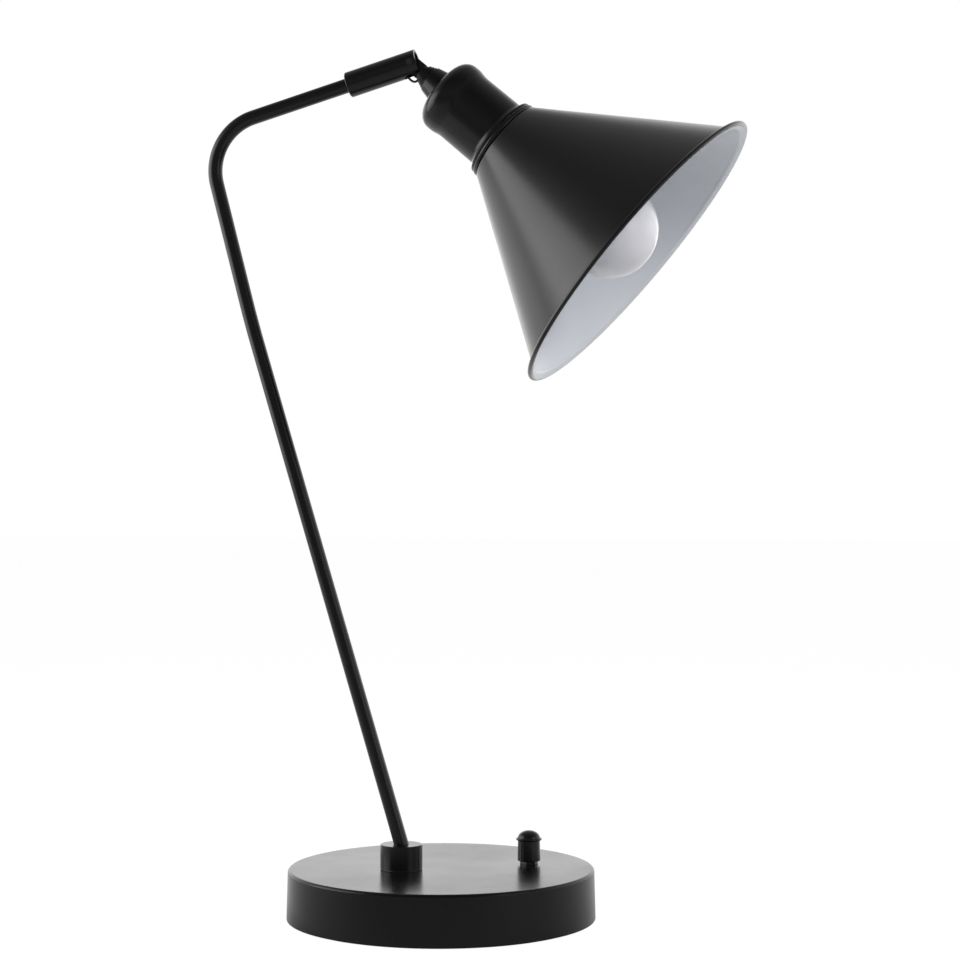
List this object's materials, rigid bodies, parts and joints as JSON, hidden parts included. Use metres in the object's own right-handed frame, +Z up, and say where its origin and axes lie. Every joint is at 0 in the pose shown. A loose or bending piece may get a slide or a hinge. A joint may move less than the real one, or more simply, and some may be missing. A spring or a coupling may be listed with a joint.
{
  "type": "task lamp",
  "caption": "Desk task lamp with a weighted round base, a bent tube arm, a slotted swivel sleeve, a tilting head with a cone shade and a rotary switch.",
  "frame": {"origin": "middle of the face that the lamp stands on", "axes": "+Z up, +X the way the arm's top and the head point, +Y away from a viewer who has the head on the right"},
  "size_m": [0.336, 0.2051, 0.5352],
  "materials": {
    "black_paint": "satin black paint",
    "shade_inside": "satin white paint",
    "steel": "zinc plated",
    "cast_iron": "raw casting",
    "foam": "dull",
    "black_plastic": "moulded",
    "pale_plastic": "moulded",
    "brass": "bright",
    "lead_sheath": "smooth sheath",
    "opal_glass": "opal white",
    "clear_glass": "clear",
    "lamp_cap_metal": "bright"
  },
  "bodies": {
    "base": {"base_shell": "black_paint", "base_weight": "cast_iron", "weight_nuts": "steel", "base_plate": "steel", "plate_screws": "steel", "base_pad": "foam", "cord_gland": "black_plastic", "gland_nut": "black_plastic", "turn_washer": "black_plastic", "switch_body": "black_plastic", "switch_bushing": "brass", "switch_nut": "steel", "switch_lead": "lead_sheath"},
    "knob": {"switch_shaft": "steel", "switch_knob": "black_paint"},
    "arm": {"arm_collar": "black_paint", "swivel_nipple": "steel", "stop_washer": "steel", "spring_washer": "steel", "swivel_nut": "steel", "arm_tube": "black_paint", "arm_lead": "lead_sheath", "arm_end_ring": "steel"},
    "sleeve": {"sleeve": "black_paint", "sleeve_bushing": "black_plastic", "keeper_screw": "steel", "tilt_pin": "steel", "tilt_washers": "steel", "joint_lead": "lead_sheath"},
    "head": {"knuckle": "black_paint", "neck_cone": "black_paint", "neck_washer": "black_paint", "head_nipple": "steel", "cup_nut": "steel", "socket_cup": "black_paint", "trim_ring": "black_paint", "shade": "black_paint", "shade_ring": "pale_plastic", "holder_cap": "black_plastic", "holder_body": "pale_plastic", "screw_shell": "brass", "centre_contact": "brass", "head_lead": "lead_sheath", "lamp_glass": "opal_glass", "lamp_stem": "clear_glass", "lamp_cap": "lamp_cap_metal", "lamp_contact": "brass"}
  },
  "joints": [
    {"name": "knob_turn", "type": "hinge", "parent": "base", "child": "knob", "pos_m": [0.05088, 0.02266, 0.04], "axis": [0, 0, 1], "continuous": true},
    {"name": "arm_swivel", "type": "hinge", "parent": "base", "child": "arm", "pos_m": [-0.02284, -0.01017, 0.04], "axis": [0, 0, 1], "range_deg": [-150, 150]},
    {"name": "sleeve_swivel", "type": "hinge", "parent": "arm", "child": "sleeve", "pos_m": [-0.01631, -0.01017, 0.52646], "axis": [0.9598, 0, 0.2807], "range_deg": [-150, 150]},
    {"name": "head_tilt", "type": "hinge", "parent": "sleeve", "child": "head", "pos_m": [-0.01631, -0.01017, 0.52646], "axis": [0, 1, 0], "range_deg": [-56.7, 31], "deforming": ["joint_lead"]}
  ]
}
